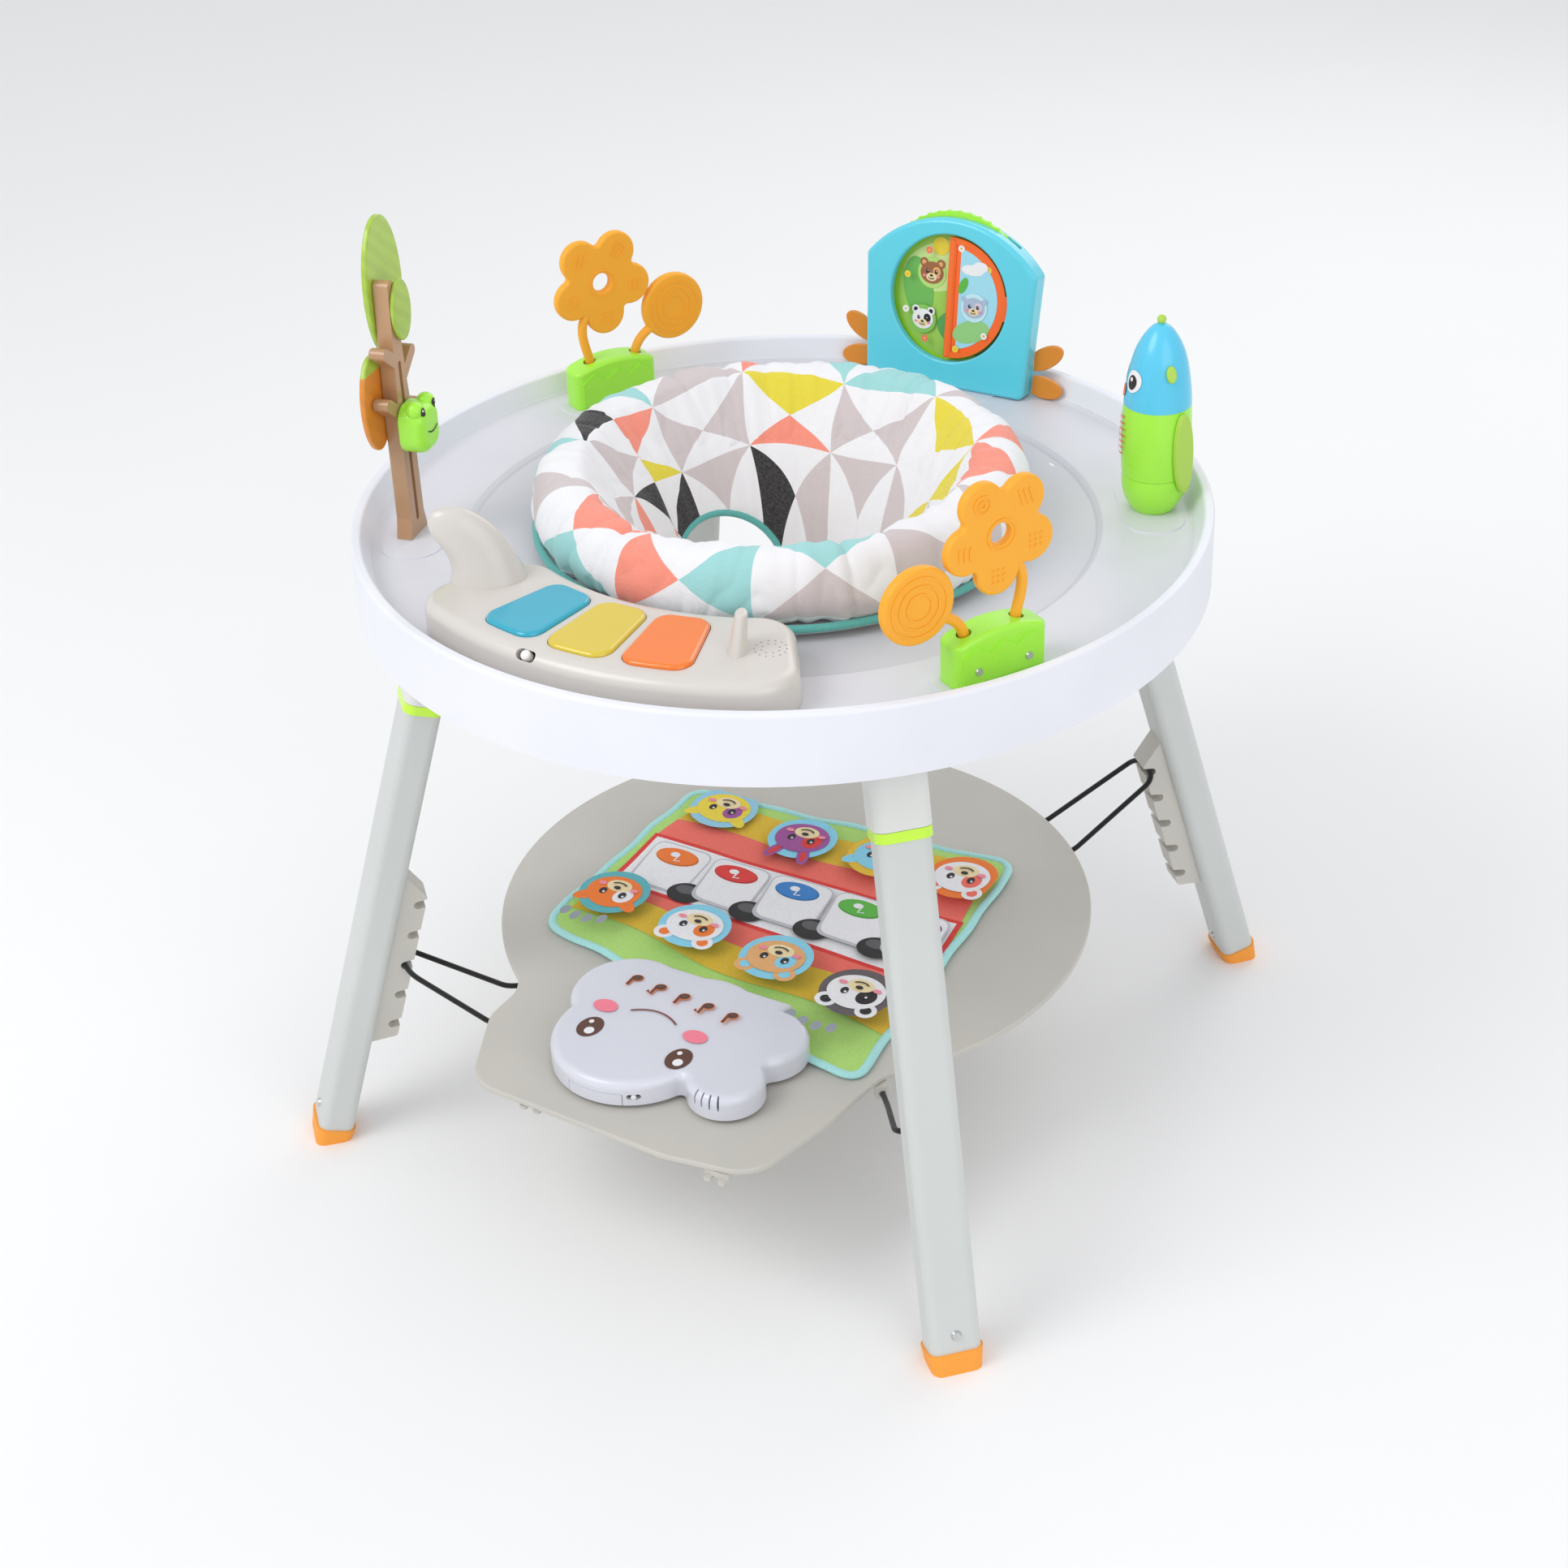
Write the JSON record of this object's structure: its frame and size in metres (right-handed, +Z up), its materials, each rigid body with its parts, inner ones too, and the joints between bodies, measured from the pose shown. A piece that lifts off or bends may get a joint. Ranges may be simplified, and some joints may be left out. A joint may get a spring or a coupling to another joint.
{
  "type": "activity jumper",
  "caption": "Round baby activity table on splayed legs with a swivelling padded seat, clip-on toys, a play piano and a footboard hung on elastic cords.",
  "frame": {"origin": "on the floor, under the middle of the tray and the axis of the swivel seat", "axes": "+Z up; the front, -Y, is the side with the piano and the footboard's toe"},
  "size_m": [0.761, 0.7664, 0.8652],
  "materials": {
    "tray": "satin",
    "track": "low-friction",
    "leg_grey": "powder coat",
    "socket": "satin",
    "lime": "gloss",
    "steel": "bright",
    "foot_orange": "matt",
    "rail": "satin",
    "cord": "braided",
    "seat_plastic": "satin",
    "cushion": "printed",
    "sling": "printed",
    "board": "satin",
    "mat": "printed",
    "cloud": "gloss",
    "piano": "gloss",
    "key_blue": "gloss",
    "key_yellow": "gloss",
    "key_orange": "gloss",
    "circuit": "solder mask",
    "black_part": "matt",
    "pad_rubber": "matt",
    "switch": "gloss",
    "box_blue": "gloss",
    "wheel_green": "gloss",
    "page_orange": "gloss",
    "petal": "satin",
    "toy_green": "gloss",
    "head_blue": "gloss",
    "wing_green": "satin",
    "bark": "gloss",
    "leaf": "translucent",
    "teether": "soft"
  },
  "bodies": {
    "table": {"bird_base": "toy_green", "box_petals": "petal", "elastic_cord_back_left": "cord", "elastic_cord_back_right": "cord", "elastic_cord_front_left": "cord", "elastic_cord_front_right": "cord", "foot_bolts": "steel", "foot_caps": "foot_orange", "hook_rail_back_left": "rail", "hook_rail_back_right": "rail", "hook_rail_front_left": "rail", "hook_rail_front_right": "rail", "leg_sockets": "socket", "leg_trim_rings": "lime", "leg_tube_back_left": "leg_grey", "leg_tube_back_right": "leg_grey", "leg_tube_front_left": "leg_grey", "leg_tube_front_right": "leg_grey", "piano_base": "piano", "piano_circuit_board": "circuit", "piano_contact_pads": "pad_rubber", "piano_cover": "piano", "piano_speaker": "black_part", "picture_box_back": "box_blue", "picture_box_front": "box_blue", "seat_bearing_ring": "track", "socket_screws": "steel", "teether_back": "teether", "teether_base_back": "toy_green", "teether_base_front": "toy_green", "teether_front": "teether", "teether_screws": "steel", "toy_plates": "tray", "tray_shell": "tray", "tree_leaves": "leaf", "tree_trunk": "bark"},
    "seat": {"seat_ring": "seat_plastic", "seat_glides": "track", "seat_retainer_ring": "seat_plastic", "seat_cushion": "cushion", "seat_sling": "sling"},
    "footboard": {"footboard": "board", "play_mat": "mat", "cloud_cover": "cloud", "cloud_base": "cloud", "cloud_battery_door": "cloud", "cloud_circuit_board": "circuit", "cloud_speaker": "black_part"},
    "cloud_switch": {"cloud_switch": "switch"},
    "piano_key_blue": {"piano_key_blue": "key_blue"},
    "piano_key_yellow": {"piano_key_yellow": "key_yellow"},
    "piano_key_orange": {"piano_key_orange": "key_orange"},
    "piano_switch": {"piano_switch": "switch"},
    "picture_wheel": {"picture_wheel": "wheel_green"},
    "flip_page": {"flip_page": "page_orange"},
    "bird": {"bird_body": "toy_green", "bird_head": "head_blue", "bird_trims": "wing_green"},
    "frog": {"frog_slider": "toy_green"}
  },
  "joints": [
    {"name": "seat_swivel", "type": "hinge", "parent": "table", "child": "seat", "pos_m": [0, 0, 0.58], "axis": [0, 0, 1], "continuous": true},
    {"name": "footboard_bounce", "type": "slide", "parent": "table", "child": "footboard", "axis": [0, 0, 1], "range_m": [-0.035, 0.02], "stiffness_N_per_m": 1500, "springref_m": 0.01719, "deforming": ["elastic_cord_front_left", "elastic_cord_front_right", "elastic_cord_back_right", "elastic_cord_back_left"]},
    {"name": "blue_key_press", "type": "slide", "parent": "table", "child": "piano_key_blue", "axis": [0, 0, -1], "range_m": [0, 0.003], "stiffness_N_per_m": 600, "springref_m": -0.002},
    {"name": "yellow_key_press", "type": "slide", "parent": "table", "child": "piano_key_yellow", "axis": [0, 0, -1], "range_m": [0, 0.003], "stiffness_N_per_m": 600, "springref_m": -0.002},
    {"name": "orange_key_press", "type": "slide", "parent": "table", "child": "piano_key_orange", "axis": [0, 0, -1], "range_m": [0, 0.003], "stiffness_N_per_m": 600, "springref_m": -0.002},
    {"name": "piano_switch_slide", "type": "slide", "parent": "table", "child": "piano_switch", "axis": [0.9954, -0.0958, 0], "range_m": [-0.0045, 0.0045]},
    {"name": "cloud_switch_slide", "type": "slide", "parent": "footboard", "child": "cloud_switch", "axis": [0.848, 0.5299, 0], "range_m": [-0.0035, 0.0035]},
    {"name": "picture_wheel_spin", "type": "hinge", "parent": "table", "child": "picture_wheel", "pos_m": [0, 0.3487, 0.66631], "axis": [0, -0.9903, 0.1392], "continuous": true},
    {"name": "flip_page_turn", "type": "hinge", "parent": "table", "child": "flip_page", "pos_m": [0, 0.34029, 0.66749], "axis": [0, -0.1392, -0.9903], "range_deg": [0, 165]},
    {"name": "bird_spin", "type": "hinge", "parent": "table", "child": "bird", "pos_m": [0.28579, 0.165, 0.62], "axis": [0, 0, 1], "continuous": true},
    {"name": "frog_climb", "type": "slide", "parent": "table", "child": "frog", "axis": [0, 0, 1], "range_m": [-0.06, 0.04]}
  ]
}
